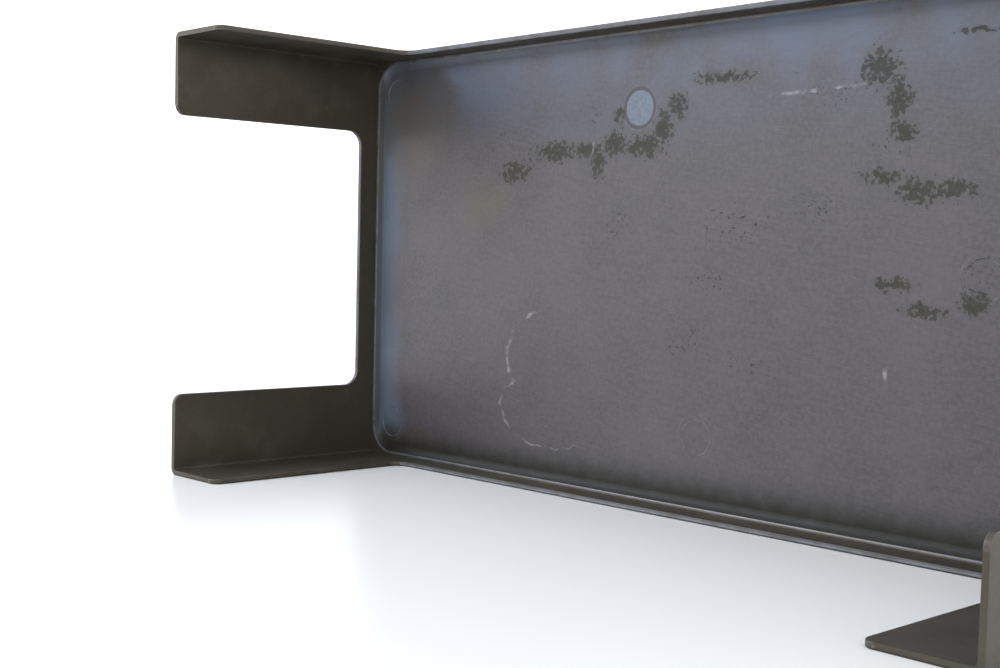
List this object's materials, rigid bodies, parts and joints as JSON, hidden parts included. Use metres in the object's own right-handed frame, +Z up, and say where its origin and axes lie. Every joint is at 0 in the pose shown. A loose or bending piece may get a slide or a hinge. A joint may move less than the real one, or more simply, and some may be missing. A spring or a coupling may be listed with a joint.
{
  "type": "low side table",
  "caption": "Low rectangular side table moulded in fibre-filled plastic, with angle legs at the corners and a recessed underside, lying on a long side.",
  "frame": {"origin": "middle of the table's footprint as it lies on its long side, on the surface that it rests on", "axes": "+X along the table's length; +Y from the feet towards the top face, which looks along +Y; +Z up, across the table's width. Turning it +90 degrees about X stands it on its feet."},
  "size_m": [0.9, 0.265, 0.45],
  "materials": {
    "top_underside": "satin, stained and wiped",
    "moulded_shell": "satin, moulded"
  },
  "bodies": {
    "root": {"top_panel": "top_underside", "recess_rim": "moulded_shell", "left_end_apron": "moulded_shell", "right_end_apron": "moulded_shell", "lower_side_apron": "moulded_shell", "upper_side_apron": "moulded_shell", "leg_left_lower": "moulded_shell", "leg_left_upper": "moulded_shell", "leg_right_lower": "moulded_shell", "leg_right_upper": "moulded_shell"}
  },
  "joints": []
}
